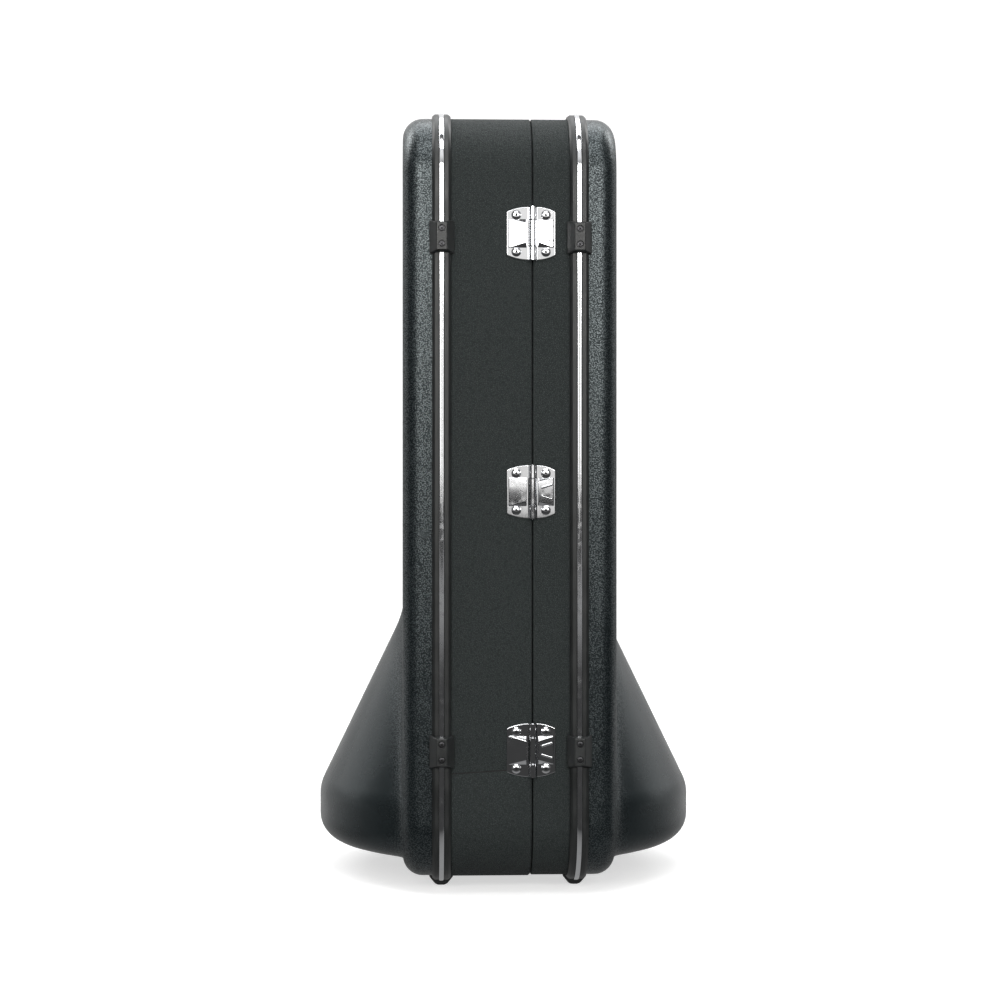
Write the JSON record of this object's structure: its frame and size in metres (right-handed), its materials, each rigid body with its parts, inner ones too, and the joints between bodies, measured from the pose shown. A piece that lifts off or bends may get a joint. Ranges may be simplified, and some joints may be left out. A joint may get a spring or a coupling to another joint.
{
  "type": "euphonium case",
  "caption": "Upright hard case for a euphonium: two hinged halves with a bell bulge, chrome-beaded trims, draw latches, a carrying handle and a fitted nest.",
  "frame": {"origin": "centre of the whole case's footprint, on the plane of the feet at the bell end", "axes": "+Z from the bell end to the small end, -Y out of the hinged spine, +Y out of the latch side, -X out of the base half, +X out of the lid half"},
  "size_m": [0.39, 0.4314, 0.7781],
  "materials": {
    "textured_shell": "vacuum-formed sheet with a pebbled grain and soft sheen",
    "covering": "leather-grain vinyl glued over the wooden frame",
    "trim_plastic": "smooth extruded edging, satin",
    "chrome_bead": "bright half-round insert",
    "clip_plastic": "moulded saddle, satin, fused screw heads",
    "chrome_hardware": "bright plated pressed steel",
    "lip_aluminium": "satin extrusion",
    "grip_plastic": "moulded grip, satin",
    "lining_pile": "short plush on thin foam",
    "nest_pile": "short plush over foam and ply blocks"
  },
  "bodies": {
    "base": {"base_shell": "textured_shell", "base_frame": "covering", "base_lining": "lining_pile", "base_trim_spine": "trim_plastic", "base_trim_wrap": "trim_plastic", "base_bead_spine": "chrome_bead", "base_bead_wrap": "chrome_bead", "base_clip_low": "clip_plastic", "base_clip_high": "clip_plastic", "base_foot_front": "clip_plastic", "base_foot_rear": "clip_plastic", "alignment_lip": "lip_aluminium", "hinge_lower_base_leaf": "chrome_hardware", "hinge_lower_pin": "chrome_hardware", "hinge_middle_base_leaf": "chrome_hardware", "hinge_middle_pin": "chrome_hardware", "hinge_upper_base_leaf": "chrome_hardware", "hinge_upper_pin": "chrome_hardware", "latch_bell_outer_plate": "chrome_hardware", "latch_bell_inner_plate": "chrome_hardware", "latch_tail_inner_plate": "chrome_hardware", "latch_tail_outer_plate": "chrome_hardware", "handle_mount_lower": "chrome_hardware", "handle_mount_upper": "chrome_hardware", "tail_block": "nest_pile", "bell_pad": "nest_pile", "throat_cradle": "nest_pile", "accessory_box": "nest_pile", "accessory_pin": "chrome_hardware"},
    "lid": {"lid_shell": "textured_shell", "lid_frame": "covering", "lid_lining": "lining_pile", "lid_trim_spine": "trim_plastic", "lid_trim_wrap": "trim_plastic", "lid_bead_spine": "chrome_bead", "lid_bead_wrap": "chrome_bead", "lid_clip_low": "clip_plastic", "lid_clip_high": "clip_plastic", "lid_foot_front": "clip_plastic", "lid_foot_rear": "clip_plastic", "hinge_lower_lid_leaf": "chrome_hardware", "hinge_middle_lid_leaf": "chrome_hardware", "hinge_upper_lid_leaf": "chrome_hardware", "latch_bell_outer_keeper": "chrome_hardware", "latch_bell_inner_keeper": "chrome_hardware", "latch_tail_inner_keeper": "chrome_hardware", "latch_tail_outer_keeper": "chrome_hardware", "lid_pad": "nest_pile"},
    "lever_bell_outer": {"latch_bell_outer_lever": "chrome_hardware"},
    "bail_bell_outer": {"latch_bell_outer_bail": "chrome_hardware"},
    "lever_bell_inner": {"latch_bell_inner_lever": "chrome_hardware"},
    "bail_bell_inner": {"latch_bell_inner_bail": "chrome_hardware"},
    "lever_tail_inner": {"latch_tail_inner_lever": "chrome_hardware"},
    "bail_tail_inner": {"latch_tail_inner_bail": "chrome_hardware"},
    "lever_tail_outer": {"latch_tail_outer_lever": "chrome_hardware"},
    "bail_tail_outer": {"latch_tail_outer_bail": "chrome_hardware"},
    "handle": {"handle_grip": "grip_plastic"},
    "accessory_lid": {"accessory_lid": "nest_pile"}
  },
  "joints": [
    {"name": "lid_hinge", "type": "hinge", "parent": "base", "child": "lid", "pos_m": [0.0215, -0.20745, 0.3985], "axis": [0, 0, -1], "range_deg": [0, 110]},
    {"name": "lever_bell_outer_pivot", "type": "hinge", "parent": "base", "child": "lever_bell_outer", "pos_m": [0.0075, 0.20315, 0.1405], "axis": [0, 0, -1], "range_deg": [-4, 106]},
    {"name": "bail_bell_outer_pivot", "type": "hinge", "parent": "lever_bell_outer", "child": "bail_bell_outer", "pos_m": [0.00063, 0.20181, 0.1405], "axis": [0, 0, -1], "range_deg": [-159, 6]},
    {"name": "lever_bell_inner_pivot", "type": "hinge", "parent": "base", "child": "lever_bell_inner", "pos_m": [0.0075, 0.20315, 0.2725], "axis": [0, 0, -1], "range_deg": [-4, 106]},
    {"name": "bail_bell_inner_pivot", "type": "hinge", "parent": "lever_bell_inner", "child": "bail_bell_inner", "pos_m": [0.00063, 0.20181, 0.2725], "axis": [0, 0, -1], "range_deg": [-159, 6]},
    {"name": "lever_tail_inner_pivot", "type": "hinge", "parent": "base", "child": "lever_tail_inner", "pos_m": [0.0075, 0.20315, 0.5125], "axis": [0, 0, -1], "range_deg": [-4, 106]},
    {"name": "bail_tail_inner_pivot", "type": "hinge", "parent": "lever_tail_inner", "child": "bail_tail_inner", "pos_m": [0.00063, 0.20181, 0.5125], "axis": [0, 0, -1], "range_deg": [-159, 6]},
    {"name": "lever_tail_outer_pivot", "type": "hinge", "parent": "base", "child": "lever_tail_outer", "pos_m": [0.0075, 0.20315, 0.6445], "axis": [0, 0, -1], "range_deg": [-4, 106]},
    {"name": "bail_tail_outer_pivot", "type": "hinge", "parent": "lever_tail_outer", "child": "bail_tail_outer", "pos_m": [0.00063, 0.20181, 0.6445], "axis": [0, 0, -1], "range_deg": [-159, 6]},
    {"name": "handle_swing", "type": "hinge", "parent": "base", "child": "handle", "pos_m": [-0.006, 0.20725, 0.3925], "axis": [0, 0, -1], "range_deg": [0, 105]},
    {"name": "accessory_lid_hinge", "type": "hinge", "parent": "base", "child": "accessory_lid", "pos_m": [0.0146, 0.10615, 0.3075], "axis": [0, 0, -1], "range_deg": [0, 100]}
  ],
  "couplings": [
    {"joint": "bail_bell_outer_pivot", "follows": "lever_bell_outer_pivot", "ratio": -1.5},
    {"joint": "bail_bell_inner_pivot", "follows": "lever_bell_inner_pivot", "ratio": -1.5},
    {"joint": "bail_tail_inner_pivot", "follows": "lever_tail_inner_pivot", "ratio": -1.5},
    {"joint": "bail_tail_outer_pivot", "follows": "lever_tail_outer_pivot", "ratio": -1.5}
  ]
}
